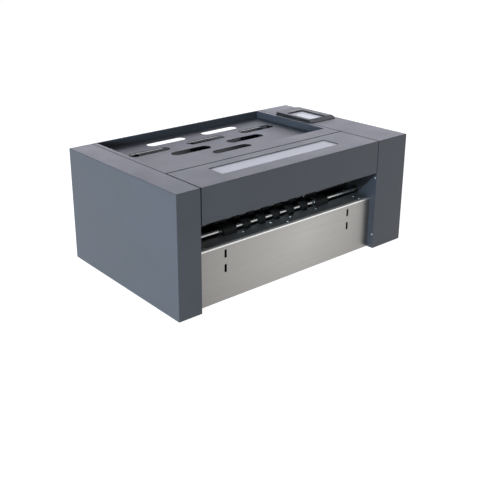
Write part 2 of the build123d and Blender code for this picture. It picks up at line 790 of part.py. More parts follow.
def pinch_blocks():
    blocks = []
    for x0, x1 in pinch_block_spans():
        for y in pinch_stations:
            piece = block(x0, x1, y - block_width / 2, y + block_width / 2,
                          pinch_z - block_height / 2, pinch_z + block_height / 2)
            blocks.append(piece - rod(shaft_radius + running_fit, x0 - overrun, x1 + overrun,
                                      y, pinch_z))
    return blocks


def pinch_springs():
    """Coil springs between each block and the top of its slot."""
    springs = []
    height = spring_space - 2 * spring_wire
    for frame_middle in (left_frame_x - frame_sheet / 2, right_frame_x + frame_sheet / 2):
        for y in pinch_stations:
            path = Helix(height / spring_turns, height, spring_radius - spring_wire)
            section = Plane(path @ 0, z_dir=path % 0) * Circle(spring_wire)
            coil = sweep(section, path=path)
            springs.append(Pos(frame_middle, y, pinch_z + block_height / 2 + spring_wire) * coil)
    return springs


def lower_shaft(y, z):
    """Driven shaft from the left frame to its pulley."""
    end = drive_x + pulley_width + 2 * pulley_rim
    return rod(shaft_radius, left_outer_x - shaft_tail, end, y, z)


def pinch_shaft(y):
    return rod(shaft_radius, left_outer_x - pinch_tail, right_outer_x + pinch_tail, y, pinch_z)


def rollers(y, z):
    """Rubber sleeves pressed on a shaft."""
    sleeves = []
    for x in roller_offsets():
        x0, x1 = x - roller_width / 2, x + roller_width / 2
        sleeve = rod(roller_radius, x0, x1, y, z)
        sleeve = sleeve - rod(shaft_radius, x0 - overrun, x1 + overrun, y, z)
        sleeves.append(sleeve)
    return sleeves


# ---- Transport drive ----
def pulley(radius, bore, y, z):
    """Toothed-belt pulley between two rims."""
    x0 = drive_x
    x1 = x0 + pulley_width + 2 * pulley_rim
    wheel = rod(radius, x0, x1, y, z)
    wheel += rod(radius + pulley_rim_rise, x0, x0 + pulley_rim, y, z)
    wheel += rod(radius + pulley_rim_rise, x1 - pulley_rim, x1, y, z)
    return wheel - rod(bore, x0 - overrun, x1 + overrun, y, z)


def belt_loop(offset):
    """Outline around the shaft pulleys and the motor's pulley, this far outside them."""
    circles = [Pos(y, z) * Circle(pulley_radius + offset) for y, z in lower_axes]
    circles.append(Pos(motor_y, motor_z) * Circle(motor_pulley_radius + offset))
    return make_hull([circle.edge() for circle in circles])


def drive_belt():
    x0 = drive_x + pulley_rim + part_gap
    x1 = drive_x + pulley_rim + pulley_width - part_gap
    ring = belt_loop(belt_gap + belt_thickness) - belt_loop(belt_gap)
    return extrude(Plane.YZ.offset(x0) * ring, x1 - x0)


def feed_motor():
    """Square stepping motor, shaft towards the frame."""
    x0, x1 = motor_face_x, motor_face_x + motor_length
    half = motor_size / 2
    body = block(x0, x1, motor_y - half, motor_y + half, motor_z - half, motor_z + half)
    body = chamfer(body.edges().filter_by(Axis.X), motor_corner)
    return body - rod(motor_shaft_radius + running_fit, x0 - overrun,
                      x0 + motor_shaft_engagement + part_gap, motor_y, motor_z)


def motor_standoffs():
    half = motor_bolt_spacing / 2
    return [rod(standoff_radius, right_outer_x, motor_face_x, motor_y + a * half,
                motor_z + b * half) for a in (-1, 1) for b in (-1, 1)]


def motor_pulley():
    """Pulley on the motor's shaft, turned in one piece with it."""
    wheel = pulley(motor_pulley_radius, motor_shaft_radius, motor_y, motor_z)
    return wheel + rod(motor_shaft_radius, drive_x, motor_face_x + motor_shaft_engagement,
                       motor_y, motor_z)


# ---- Heads ----
def cutter_knife_front():
    """Front face of the knife, which lies on the front of the cutting beam."""
    return cutter_y - beam_thickness / 2 - knife_thickness


def head_beam(y):
    """Aluminium beam that slides in the guides at both ends."""
    end = guide_floor + part_gap
    return block(left_frame_x + end, right_frame_x - end, y - beam_thickness / 2,
                 y + beam_thickness / 2, beam_low_z, beam_high_z)


def yokes(y, offset, throw):
    """Plates on the beam whose windows take the eccentrics, head at the top of its stroke."""
    plates = []
    window_z = cam_z + throw
    half_height = eccentric_radius + throw * yoke_slack
    half_depth = eccentric_radius + throw + part_gap
    for x in (bay_x - offset, bay_x + offset):
        x0, x1 = x - eccentric_width / 2, x + eccentric_width / 2
        plate = block(x0, x1, y - yoke_half_depth, y + yoke_half_depth, beam_high_z,
                      window_z + half_height + yoke_wall)
        plates.append(plate - block(x0 - overrun, x1 + overrun, y - half_depth, y + half_depth,
                                    window_z - half_height, window_z + half_height))
    return plates


def camshaft(y, offset, throw):
    """Shaft turned with two eccentrics, its right end in the gear motor."""
    shaft = rod(camshaft_radius, left_outer_x - shaft_tail, right_outer_x + camshaft_engagement,
                y, cam_z)
    for x in (bay_x - offset, bay_x + offset):
        shaft += rod(eccentric_radius, x - eccentric_width / 2, x + eccentric_width / 2,
                     y, cam_z + throw)
    return shaft


def head_guides():
    """Channels on the side frames that hold the ends of both beams."""
    guides = []
    z0 = beam_low_z - 2 * cutter_throw - guide_margin
    z1 = beam_high_z + guide_margin
    for y in (cutter_y, crease_y):
        slot = beam_thickness / 2 + slide_fit
        half = slot + guide_wall
        left = block(left_frame_x, left_frame_x + guide_depth, y - half, y + half, z0, z1)
        left -= block(left_frame_x + guide_floor, left_frame_x + guide_depth + overrun,
                      y - slot, y + slot, z0 - overrun, z1 + overrun)
        right = block(right_frame_x - guide_depth, right_frame_x, y - half, y + half, z0, z1)
        right -= block(right_frame_x - guide_depth - overrun, right_frame_x - guide_floor,
                       y - slot, y + slot, z0 - overrun, z1 + overrun)
        guides += [left, right]
    return guides


def crease_beam():
    half = blade_thickness / 2
    return head_beam(crease_y) - block(
        bay_x - tool_length / 2, bay_x + tool_length / 2, crease_y - half, crease_y + half,
        beam_low_z - overrun, beam_low_z + blade_socket)


def crease_blade():
    """Blade in the slot of the creasing beam, its edge tapered to the crease width."""
    half, edge = blade_thickness / 2, blade_thickness / 4
    low = sheet_z + blade_lift
    outline = Polyline(
        (crease_y - half, beam_low_z + blade_socket), (crease_y - half, low + blade_thickness),
        (crease_y - edge, low), (crease_y + edge, low),
        (crease_y + half, low + blade_thickness), (crease_y + half, beam_low_z + blade_socket),
        close=True)
    return profile(outline, bay_x - tool_length / 2, bay_x + tool_length / 2)


def crease_die():
    """Lower tool with the creasing groove."""
    x0, x1 = bay_x - tool_length / 2, bay_x + tool_length / 2
    die = block(x0, x1, crease_y - die_width / 2, crease_y + die_width / 2,
                tool_beam_top_z, tool_top_z)
    half = die_groove_width / 2
    return die - block(x0 - overrun, x1 + overrun, crease_y - half, crease_y + half,
                       tool_top_z - die_groove_depth, tool_top_z + overrun)


def cutter_knife():
    """Knife plate on the front of its beam, with a sloping edge."""
    x0, x1 = bay_x - tool_length / 2, bay_x + tool_length / 2
    y0 = cutter_knife_front()
    low = sheet_z + knife_lift
    high = beam_high_z - knife_top_drop
    outline = Polyline((x0, low), (x1, low + knife_shear), (x1, high), (x0, high), close=True)
    face = Plane.XZ.offset(-y0) * make_face(outline)
    return extrude(face, -knife_thickness)


def counter_knife():
    x0, x1 = bay_x - tool_length / 2, bay_x + tool_length / 2
    y0 = cutter_knife_front() + knife_thickness + part_gap
    return block(x0, x1, y0, y0 + counter_knife_width, tool_beam_top_z, tool_top_z)


def head_gearmotors():
    """Planetary gear motors on the right side frame with hollow outputs."""
    x0 = right_outer_x
    x1 = x0 + gearbox_length
    motors = []
    for y in (cutter_y, crease_y):
        body = rod(gearmotor_radius, x0, x1, y, cam_z)
        body += rod(gearmotor_radius - motor_can_step, x1, x0 + gearmotor_length, y, cam_z)
        motors.append(body - rod(camshaft_radius + running_fit, x0 - overrun,
                                 x0 + camshaft_engagement + part_gap, y, cam_z))
    return motors


# ---- Feed side ----
def feed_table():
    """Sheet between the covers behind the feed rollers, with the side guide's slot."""
    x0, x1 = left_jamb_x + panel_gap, right_jamb_x - panel_gap
    z0 = feed_table_z - guide_sheet
    table = block(x0, x1, feed_y + feed_table_start, rear_y - rear_setback, z0, feed_table_z)
    slot_x = right_jamb_x - fence_slot_inset
    return table - block(slot_x - fence_slot_length, slot_x,
                         fence_slot_y - fence_slot_width / 2, fence_slot_y + fence_slot_width / 2,
                         z0 - overrun, feed_table_z + overrun)


def feed_guide():
    """Upper guide: upright plate, flat, and a lip that leads down to the feed rollers."""
    t = guide_sheet
    lip_y, lip_z = guide_lip_y, sheet_z + guide_lip_rise
    outline = Polyline(
        (guide_y, guide_high_z), (guide_y, guide_low_z), (guide_flat_y, guide_low_z),
        (lip_y, lip_z), (lip_y, lip_z - t), (guide_flat_y + t / 2, guide_low_z - t),
        (guide_y + t, guide_low_z - t), (guide_y + t, guide_high_z), close=True)
    return profile(outline, left_frame_x + part_gap, right_frame_x - part_gap)


def sheet_sensors():
    """Black sensor boxes near the top of the upper guide."""
    boxes = []
    top = guide_high_z - part_gap
    for i in (-1, 0, 1):
        x = bay_x + sensor_phase + i * sensor_pitch
        boxes.append(block(x - sensor_width / 2, x + sensor_width / 2,
                           guide_y - sensor_depth, guide_y, top - sensor_height, top))
    return boxes


def side_guide():
    """Fence on the feed table; its tongue runs in the cross slot."""
    x0 = fence_x
    y0, y1 = guide_flat_y + fence_front_gap, rear_y - fence_setback
    z0 = feed_table_z + part_gap
    fence = block(x0 - fence_sheet, x0, y0, y1, z0, z0 + fence_height)
    fence += block(x0 - fence_sheet, x0 + fence_foot, y0, y1, z0, z0 + fence_sheet)
    tongue_x = x0 + fence_tongue_inset
    half = fence_slot_width / 2 - slide_fit
    return fence + block(tongue_x, tongue_x + fence_tongue_length,
                         fence_slot_y - half, fence_slot_y + half, z0 - fence_tongue_drop, z0)


def offcut_bin():
    """Open bin on the base pan with a pull lip at the rear."""
    x0, x1 = bay_x - bin_width / 2, bay_x + bin_width / 2
    y0, y1 = front_y + bin_front_setback, rear_y - bin_rear_setback
    z0 = floor_z + part_gap
    z1 = z0 + bin_height
    tub = block(x0, x1, y0, y1, z0, z1)
    tub -= block(x0 + bin_wall, x1 - bin_wall, y0 + bin_wall, y1 - bin_wall,
                 z0 + bin_wall, z1 + overrun)
    half = bin_lip_length / 2
    return tub + block(bay_x - half, bay_x + half, y1, y1 + bin_lip_reach, z1 - bin_wall, z1)


# ---- Display ----
def display_bezel():
    """Black frame with a ramp in front; its sleeve passes through the right cover."""
    x0, x1 = bezel_left_x, bezel_left_x + bezel_width
    frame = block(x0, x1, bezel_front_y, bezel_rear_y, top_z, top_z + bezel_height)
    frame = fillet(frame.edges().filter_by(Axis.Z), bezel_corner_radius)
    frame = fillet(frame.edges().group_by(Axis.Z)[-1], bezel_edge_radius)
    above = top_z + bezel_height + overrun
    ramp = Polyline((bezel_front_y - overrun, above), (bezel_front_y - overrun, top_z + bezel_nose),
                    (bezel_front_y, top_z + bezel_nose),
                    (bezel_front_y + screen_front_margin, top_z + bezel_height),
                    (bezel_front_y + screen_front_margin, above), close=True)
    frame -= profile(ramp, x0 - overrun, x1 + overrun)
    hole_x, hole_y = screen_width / 2, screen_length / 2
    wall_x, wall_y = hole_x + bezel_sleeve, hole_y + bezel_sleeve
    frame += block(screen_x - wall_x, screen_x + wall_x, screen_y - wall_y, screen_y + wall_y,
                   top_z - bezel_sleeve_depth, top_z)
    return frame - block(screen_x - hole_x, screen_x + hole_x, screen_y - hole_y,
                         screen_y + hole_y, top_z - bezel_sleeve_depth - overrun, above)


def touch_screen():
    half_x = screen_width / 2 - running_fit
    half_y = screen_length / 2 - running_fit
    return block(screen_x - half_x, screen_x + half_x, screen_y - half_y, screen_y + half_y,
                 screen_z - screen_thickness, screen_z)


# ---- Power inlet and switch ----
def power_inlet():
    """Mains inlet with three blades, flush with the rear face."""
    half_w, half_h = inlet_width / 2, inlet_height / 2
    inlet = block(inlet_x - half_w, inlet_x + half_w, rear_y - inlet_depth, rear_y,
                  inlet_z - half_h, inlet_z + half_h)
    inlet += block(inlet_x - half_w - inlet_rim / 2, inlet_x + half_w + inlet_rim / 2,
                   rear_panel_y - cover_sheet, rear_panel_y,
                   inlet_z - half_h - inlet_rim / 2, inlet_z + half_h + inlet_rim / 2)
    inlet -= block(inlet_x - socket_width / 2, inlet_x + socket_width / 2,
                   rear_y - socket_depth, rear_y + overrun,
                   inlet_z - socket_height / 2, inlet_z + socket_height / 2)
    for dx, dz in ((-pin_spacing / 2, -pin_height / 2), (0, pin_height / 2),
                   (pin_spacing / 2, -pin_height / 2)):
        inlet += block(inlet_x + dx - pin_blade / 2, inlet_x + dx + pin_blade / 2,
                       rear_y - socket_depth, rear_y - socket_depth + pin_length,
                       inlet_z + dz - pin_height / 2, inlet_z + dz + pin_height / 2)
    return inlet


def switch_housing():
    """Frame of the mains switch with bearings for the rocker."""
    half_w, half_h = switch_width / 2, switch_height / 2
    housing = block(switch_x - half_w, switch_x + half_w, rear_y - switch_depth, rear_y,
                    inlet_z - half_h, inlet_z + half_h)
    housing -= block(switch_x - half_w + switch_wall, switch_x + half_w - switch_wall,
                     rear_y - switch_depth + switch_wall, rear_y + overrun,
                     inlet_z - half_h + switch_wall, inlet_z + half_h - switch_wall)
    reach = half_w - switch_wall + trunnion_length + part_gap
    return housing - rod(trunnion_radius + running_fit, switch_x - reach, switch_x + reach,
                         pivot_y, inlet_z)


def rocker():
    """Rocker in its off position, with a trunnion at each side."""
    half_w = switch_width / 2 - switch_wall - part_gap
    height = switch_height - 2 * switch_wall - 6 * part_gap
    body = Box(2 * half_w, rocker_depth, height)
    body = fillet(body.edges().filter_by(Axis.X).group_by(Axis.Y)[-1], overrun)
    body = Pos(switch_x, pivot_y, inlet_z) * Rot(rocker_tilt, 0, 0) * body
    reach = half_w + part_gap + trunnion_length
    return body + rod(trunnion_radius, switch_x - reach, switch_x + reach, pivot_y, inlet_z)


# ---- Electronics ----
def power_supply():
    """Closed supply on the outer face of the left side frame."""
    y1 = rear_y - supply_rear_setback
    z0 = floor_z + supply_rise
    return block(left_outer_x - supply_thickness, left_outer_x, y1 - supply_length, y1,
                 z0, z0 + supply_height)


def control_board():
    """Circuit board on four spacers above the power supply, with a heat sink."""
    x1 = left_outer_x - board_standoff
    x0 = x1 - board_thickness
    y1 = rear_y - board_rear_setback
    y0 = y1 - board_length
    z1 = top_z - board_drop
    z0 = z1 - board_height
    board = block(x0, x1, y0, y1, z0, z1)
    inset = 2 * board_spacer_radius
    for y in (y0 + inset, y1 - inset):
        for z in (z0 + inset, z1 - inset):
            board += rod(board_spacer_radius, x0, left_outer_x, y, z)
    sink_y, sink_z = y0 + 2 * inset, z0 + 2 * inset
    return board + block(x0 - heat_sink_height, x0, sink_y, sink_y + heat_sink_side,
                         sink_z, sink_z + heat_sink_side)


# ---- Screws ----
def case_screws():
    """Pan-head screws in the jambs and the exit table."""
    screws = []
    for jamb_x, outward in ((left_jamb_x, -1), (right_jamb_x, 1)):
        for y, z in jamb_screw_points():
            tip0, tip1 = sorted((jamb_x, jamb_x + outward * (cover_sheet + frame_sheet)))
            head0, head1 = sorted((jamb_x, jamb_x - outward * screw_head_height))
            screw = rod(screw_radius, tip0, tip1, y, z) + rod(screw_head_radius, head0, head1, y, z)
            screws.append(screw)
    shank = guide_sheet + cover_sheet
    for x, y in table_screw_points():
        screw = Pos(x, y, table_top_z - shank / 2) * Cylinder(screw_radius, shank)
        head = Pos(x, y, table_top_z + screw_head_height / 2)
        screws.append(screw + head * Cylinder(screw_head_radius, screw_head_height))
    return screws


# ---- Write the sub-parts ----
os.makedirs("parts", exist_ok=True)
save("base_pan", base_pan())
save("rubber_feet", *rubber_feet())
save("side_frames", side_frame(left_outer_x, left_frame_x), side_frame(right_frame_x, right_outer_x))
save("cross_channels", exit_channel(), feed_channel())
save("tool_beam", tool_beam())
save("front_plate", front_plate())
save("exit_table", exit_table())
save("shaft_supports", *shaft_supports())
save("left_cover", left_cover())
save("right_cover", right_cover())
save("rear_panel", rear_panel())
save("top_tray", top_tray())
save("hood_shell", hood_shell())
save("hood_inlay", hood_inlay())
save("hood_pins", *hood_pins())
save("shaft_bearings", *shaft_bearings())
save("pinch_blocks", *pinch_blocks())
save("pinch_springs", *pinch_springs())
for row, (y, z) in zip(("exit", "transfer", "feed"), lower_axes):
    save(f"{row}_shaft", lower_shaft(y, z))
    save(f"{row}_rollers", *rollers(y, z))
    save(f"{row}_pulley", pulley(pulley_radius, shaft_radius, y, z))
for row, y in zip(("transfer", "feed"), pinch_stations):
    save(f"{row}_pinch_shaft", pinch_shaft(y))
    save(f"{row}_pinch_rollers", *rollers(y, pinch_z))
save("drive_belt", drive_belt())
save("feed_motor", feed_motor())
save("motor_standoffs", *motor_standoffs())
save("motor_pulley", motor_pulley())
save("head_guides", *head_guides())
save("head_gearmotors", *head_gearmotors())
save("crease_beam", crease_beam())
save("crease_yokes", *yokes(crease_y, crease_yoke_offset, crease_throw))
save("crease_blade", crease_blade())
save("crease_camshaft", camshaft(crease_y, crease_yoke_offset, crease_throw))
save("crease_die", crease_die())
save("cutter_beam", head_beam(cutter_y))
save("cutter_yokes", *yokes(cutter_y, cutter_yoke_offset, cutter_throw))
save("cutter_knife", cutter_knife())
save("cutter_camshaft", camshaft(cutter_y, cutter_yoke_offset, cutter_throw))
save("counter_knife", counter_knife())
save("feed_table", feed_table())
save("feed_guide", feed_guide())
save("sheet_sensors", *sheet_sensors())
save("side_guide", side_guide())
save("offcut_bin", offcut_bin())
save("display_bezel", display_bezel())
save("touch_screen", touch_screen())
save("power_inlet", power_inlet())
save("switch_housing", switch_housing())
save("rocker", rocker())
save("power_supply", power_supply())
save("control_board", control_board())
save("case_screws", *case_screws())
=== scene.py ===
# %% [markdown]
# # A desktop paper creasing machine
# The machine's solids come ready made from the CAD frame: every sheet-metal panel, shaft and
# roller is already in place, in metres. This notebook dresses them. It sets up the camera
# first, and then makes one finish after another. Next come the small pieces that a CAD solid is
# too plain for: rubber rollers, cross-recess screws, snap rings, the contacts of the mains
# inlet, the marks on the mains switch and the parts on the circuit board. The studio's floor
# and lights are last.

# %% Load the frame
import json
import math

import bmesh
import bpy
from mathutils import Matrix, Vector


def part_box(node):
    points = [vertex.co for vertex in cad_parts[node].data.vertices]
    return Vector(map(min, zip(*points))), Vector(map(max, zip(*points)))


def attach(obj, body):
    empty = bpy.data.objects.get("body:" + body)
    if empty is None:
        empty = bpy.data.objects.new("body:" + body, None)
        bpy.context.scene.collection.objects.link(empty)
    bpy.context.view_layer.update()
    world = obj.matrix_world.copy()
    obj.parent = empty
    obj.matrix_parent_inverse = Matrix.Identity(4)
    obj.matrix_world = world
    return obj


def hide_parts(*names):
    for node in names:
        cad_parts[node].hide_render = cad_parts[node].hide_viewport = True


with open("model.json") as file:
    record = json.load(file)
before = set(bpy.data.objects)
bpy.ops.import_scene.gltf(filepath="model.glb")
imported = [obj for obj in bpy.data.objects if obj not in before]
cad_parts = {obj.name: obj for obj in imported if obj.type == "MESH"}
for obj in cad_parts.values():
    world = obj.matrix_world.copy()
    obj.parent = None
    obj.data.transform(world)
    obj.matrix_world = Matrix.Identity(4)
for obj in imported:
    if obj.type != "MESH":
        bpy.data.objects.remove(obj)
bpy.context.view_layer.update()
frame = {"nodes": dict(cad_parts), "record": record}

body_of = {name: body
           for body, names in frame["record"]["behaviour"]["bodies"].items()
           for name in names}

# %% [markdown]
# ## Camera
# A real camera is set by where it stands and where it points. Here it stands in front of the
# machine's left corner, about a metre and a half away, and looks down at it. The angles are
# turned one after another: first the heading about the upright axis, then the tilt, then a
# small roll. The shift moves the picture in its frame without tilting the camera, as the
# sliding back of a studio camera does.

# %% Camera
SENSOR_MM = 36.0
IMAGE_PX = 480
FOCAL_PX = 752.75
SHIFT_PX = (34.8, -50.6)
CAMERA_PLACE = (-0.98663, -1.14885, 0.66105)
HEADING, TILT, ROLL = -37.719, 70.926, -0.752  # degrees

camera_data = bpy.data.cameras.new("studio_camera")
camera_data.sensor_width = SENSOR_MM
camera_data.lens = FOCAL_PX / IMAGE_PX * SENSOR_MM
camera_data.shift_x = SHIFT_PX[0] / IMAGE_PX
camera_data.shift_y = SHIFT_PX[1] / IMAGE_PX
camera = bpy.data.objects.new("studio_camera", camera_data)
bpy.context.scene.collection.objects.link(camera)
stance = Matrix.Translation(CAMERA_PLACE)
for degrees, axis in ((HEADING, "Z"), (TILT, "X"), (ROLL, "Z")):
    stance = stance @ Matrix.Rotation(math.radians(degrees), 4, axis)
camera.matrix_world = stance
bpy.context.scene.camera = camera
print("camera lens:", round(camera_data.lens, 1), "mm")

# %% [markdown]
# ## Colours and nodes
# Paint makers and screens give a colour as a hex code, which is made for the eye, while
# Blender's light sums need linear values. One function turns the first into the second, by the
# curve of the sRGB standard. A material is a small chain of nodes, and a second function adds
# one node with its settings and links.

# %% Colour and node helpers
MM = 0.001


def linear(code):
    """Linear colour of an sRGB hex code."""
    values = []
    for i in (1, 3, 5):
        v = int(code[i:i + 2], 16) / 255
        values.append(v / 12.92 if v <= 0.04045 else ((v + 0.055) / 1.055) ** 2.4)
    return (*values, 1.0)


def add(material, kind, settings, links):
    """Add one node. Settings are attributes or socket values, links are sockets to feed.

    A socket is given by its name, or by its number where a node uses the name twice.
    """
    tree = material.node_tree
    new = tree.nodes.new(kind)
    for name, value in settings.items():
        if isinstance(name, int) or name in new.inputs:
            new.inputs[name].default_value = value
        else:
            setattr(new, name, value)
    for name, socket in links.items():
        tree.links.new(socket, new.inputs[name])
    return new


print("middle grey in linear light:", round(linear("#808080")[0], 3))

# %% [markdown]
# ## What a finish is
# Each finish on this machine is even from afar and uneven close up: its colour and gloss drift
# a little, and it has a grain that can be felt. Image textures could show that, but they need
# unwrapping. Noise in object space needs none, runs on round corners, and its size can be given
# in real millimetres. So a finish is one shader and up to two noises. The tone noise moves the
# colour and the roughness, and the relief noise moves the height. Noise values crowd round the
# middle, so only that part of their range is used.

# %% One recipe for all finishes
EVEN = (1, 1, 1)
COLOUR_STOPS = (0.35, 0.65)
GLOSS_RANGE = (0.3, 0.7)


def pattern(material, size_mm, stretch, detail):
    """Noise of this size in object space; stretch is how much longer it is along x, y and z."""
    place = add(material, "ShaderNodeTexCoord", {}, {})
    per_metre = [1 / (size_mm * MM * s) for s in stretch]
    spread = add(material, "ShaderNodeVectorMath", {"operation": "MULTIPLY", 1: per_metre},
                 {0: place.outputs["Object"]})
    noise = add(material, "ShaderNodeTexNoise", {"Scale": 1.0, "Detail": detail},
                {"Vector": spread.outputs["Vector"]})
    return noise.outputs["Fac"]


def finish(name, colour, sockets, tone=None, dark=None, roughness=None, relief=None,
           height_mm=0.0, strength=0.0):
    """Material with one Principled shader; tone and relief are the settings of a pattern.

    The tone turns the colour towards the dark one and moves the roughness between its two
    values. What no pattern moves is set on the shader itself.
    """
    material = bpy.data.materials.new(name)
    material.use_nodes = True
    link = material.node_tree.links.new
    shader = material.node_tree.nodes["Principled BSDF"]
    shader.inputs["Base Color"].default_value = linear(colour)
    for socket, value in sockets.items():
        shader.inputs[socket].default_value = value
    drift = pattern(material, *tone) if tone else None
    if dark:
        ramp = add(material, "ShaderNodeValToRGB", {}, {"Fac": drift})
        for stop, place, code in zip(ramp.color_ramp.elements, COLOUR_STOPS, (dark, colour)):
            stop.position = place
            stop.color = linear(code)
        link(ramp.outputs["Color"], shader.inputs["Base Color"])
    if roughness:
        gloss = add(material, "ShaderNodeMapRange",
                    {"From Min": GLOSS_RANGE[0], "From Max": GLOSS_RANGE[1],
                     "To Min": roughness[0], "To Max": roughness[1]}, {"Value": drift})
        link(gloss.outputs["Result"], shader.inputs["Roughness"])
    if relief:
        grain = drift if relief == tone else pattern(material, *relief)
        bump = add(material, "ShaderNodeBump",
                   {"Distance": height_mm * MM, "Strength": strength}, {"Height": grain})
        link(bump.outputs["Normal"], shader.inputs["Normal"])
    return material


def dress(material, *nodes):
    """Give CAD pieces this finish."""
    for name in nodes:
        for slot in frame["nodes"][name].material_slots:
            slot.material = material
    print(material.name, "on", len(nodes), "nodes")


print("nodes to dress:", len(frame["nodes"]))

# %% [markdown]
# ## Powder coat
# The covers, the hood and the tray are folded steel sheet with a baked powder coat. The powder
# melts into a skin that is smooth to the hand but faintly dimpled, which painters call orange
# peel, so its reflections are broad and soft. The dimples are about 1.5 mm apart on the real
# sheet. That is finer than the render can show, so they are drawn 2.5 mm apart. A second, wide
# pattern moves colour and gloss a little, as handling and the oven do.

# %% Powder coat
PEEL_MM = 2.5
OVEN_CLOUD_MM = 70.0


def powder_coat(name, dark, light, roughness):
    return finish(name, light, {"IOR": 1.43}, tone=(OVEN_CLOUD_MM, EVEN, 3.0), dark=dark,
                  roughness=roughness, relief=(PEEL_MM, EVEN, 2.0), height_mm=0.05,
                  strength=0.25)


cover_paint = powder_coat("powder_coated_steel", "#2C2F36", "#2F323A", (0.38, 0.44))
dress(cover_paint, "left_cover", "right_cover", "hood_shell", "top_tray", "rear_panel",
      "base_pan", "side_guide")

# %% [markdown]
# ## Chassis and guide paints
# The frames and the cross members are sprayed black before they are bolted together, with a
# thinner and glossier coat than the covers'. The exit table has the same black paint, but its
# colour here is a lighter grey: painted light, which stands in for the light and reflections
# that the black table catches. The two guide plates that lead the sheet in from the rear are
# pale grey and matte, so that an edge of paper doesn't stick to them and dirt shows. All three
# are paint on steel, so the powder coat's recipe serves again with other colours and another
# gloss.

# %% Chassis and guide paints
chassis_paint = powder_coat("semi_gloss_black_paint", "#101113", "#17181B", (0.28, 0.42))
dress(chassis_paint, "side_frames", "cross_channels", "tool_beam", "feed_motor")
# The exit table's grey is painted light over black paint.
table_paint = powder_coat("black_table_paint_painted_grey", "#5A5B5D", "#646567", (0.30, 0.36))
dress(table_paint, "exit_table")
guide_paint = powder_coat("pale_grey_guide_paint", "#C0C0C2", "#CACACC", (0.55, 0.65))
dress(guide_paint, "feed_guide", "feed_table")

# %% [markdown]
# ## Brushed stainless steel
# The front plate is stainless sheet, brushed along its length by an abrasive belt. Each grit
# leaves a fine scratch some centimetres long, so the sheet mirrors light as a soft streak across
# the grain. The real scratches are about 0.1 mm wide. Here they are 1 mm wide and 120 mm long,
# the finest that the render can show. Blender's anisotropic shader could give the streak alone,
# but stretched noise also shows the scratches close up, and one noise moves colour, gloss and
# height together, as a scratch does.

# %% Brushed stainless steel
def brushed_steel(name, dark, light, roughness, width_mm, stretch):
    grain = (width_mm, stretch, 2.0)
    return finish(name, light, {"Metallic": 1.0}, tone=grain, dark=dark, roughness=roughness,
                  relief=grain, height_mm=0.0015, strength=0.3)


stainless = brushed_steel("brushed_stainless_steel", "#A9A6A3", "#AFACA9", (0.34, 0.38),
                          1.0, (120, 1, 1))
dress(stainless, "front_plate")

# %% [markdown]
# ## Painted reflection and highlight on the front plate
# Two painted marks change the plate's colour. The first is painted reflection: the plate is
# brightest round one spot and darker towards its far ends, as if it mirrored darker things
# there.
# The second is a painted highlight: the last few millimetres of the bent top edge are made
# nearly white, as where the bend catches a light. Both follow a place on the plate, so both read
# the object's own coordinates: the first is a distance from the bright spot, stretched along the
# plate, and the second is a height. Each one mixes a colour over what the shader already gets.

# %% Painted reflection and highlight on the front plate
BEND = 3.0 * MM
SOFT = 0.2
SPOT_X = 20.0 * MM
SPOT_BELOW_TOP = 30.0 * MM
FADE = (0.33, 1.0, 0.26)
# The first colour darkens the plate away from the bright spot: a painted reflection.
PAINTED_REFLECTION_SHADE, PAINTED_HIGHLIGHT = "#BEBCBB", "#F2F1EE"
# The numbers of the Mix node's colour sockets, whose names it uses more than once.
FACTOR, COLOUR_A, COLOUR_B, COLOUR_OUT = 0, 6, 7, 2

plate_low, plate_high = (Vector(c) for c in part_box("front_plate"))
bright_spot = (SPOT_X, plate_low.y, plate_high.z - SPOT_BELOW_TOP)
place = add(stainless, "ShaderNodeTexCoord", {}, {}).outputs["Object"]
from_spot = add(stainless, "ShaderNodeVectorMath",
                {"operation": "SUBTRACT", 1: bright_spot}, {0: place})
in_fades = add(stainless, "ShaderNodeVectorMath", {"operation": "DIVIDE", 1: FADE},
               {0: from_spot.outputs["Vector"]})
distance = add(stainless, "ShaderNodeVectorMath", {"operation": "LENGTH"},
               {0: in_fades.outputs["Vector"]}).outputs["Value"]
height = add(stainless, "ShaderNodeSeparateXYZ", {}, {"Vector": place}).outputs["Z"]
bend_start = plate_high.z - (1 + SOFT) * BEND
bend_end = plate_high.z - (1 - SOFT) * BEND
link = stainless.node_tree.links.new
plate_colour = stainless.node_tree.nodes["Principled BSDF"].inputs["Base Color"]
# The second mix paints a highlight, nearly white, on the bent top edge.
for measure, start, end, colour, kind in (
        (distance, 0.0, 1.0, PAINTED_REFLECTION_SHADE, "MULTIPLY"), (height, bend_start, bend_end, PAINTED_HIGHLIGHT, "MIX")):
    share = add(stainless, "ShaderNodeMapRange", {"From Min": start, "From Max": end},
                {"Value": measure})
    mix = add(stainless, "ShaderNodeMix",
              {"data_type": "RGBA", "blend_type": kind, COLOUR_B: linear(colour)},
              {FACTOR: share.outputs["Result"], COLOUR_A: plate_colour.links[0].from_socket})
    link(mix.outputs[COLOUR_OUT], plate_colour)
# The painted highlight starts at this height.
print("plate polished above", round((plate_high.z - BEND) / MM, 1), "mm")

# %% [markdown]
# ## Ground, plated and milled metal
# Inside, each metal piece is finished for its work. Shafts are ground round, which leaves rings
# too fine to see and a clear streak of light along the shaft. The shafts and yokes further in
# are oiled, and dull with it, and the bronze bearings are nearly black with old oil. Blades and
# dies are ground flat and a little darker than the shafts. Small brackets are zinc plated, which
# gives a bluish, slightly cloudy shine. The head beams are milled from aluminium, and the cutter
# leaves shallow marks across them. All are the brushed recipe with another width, direction and
# gloss.

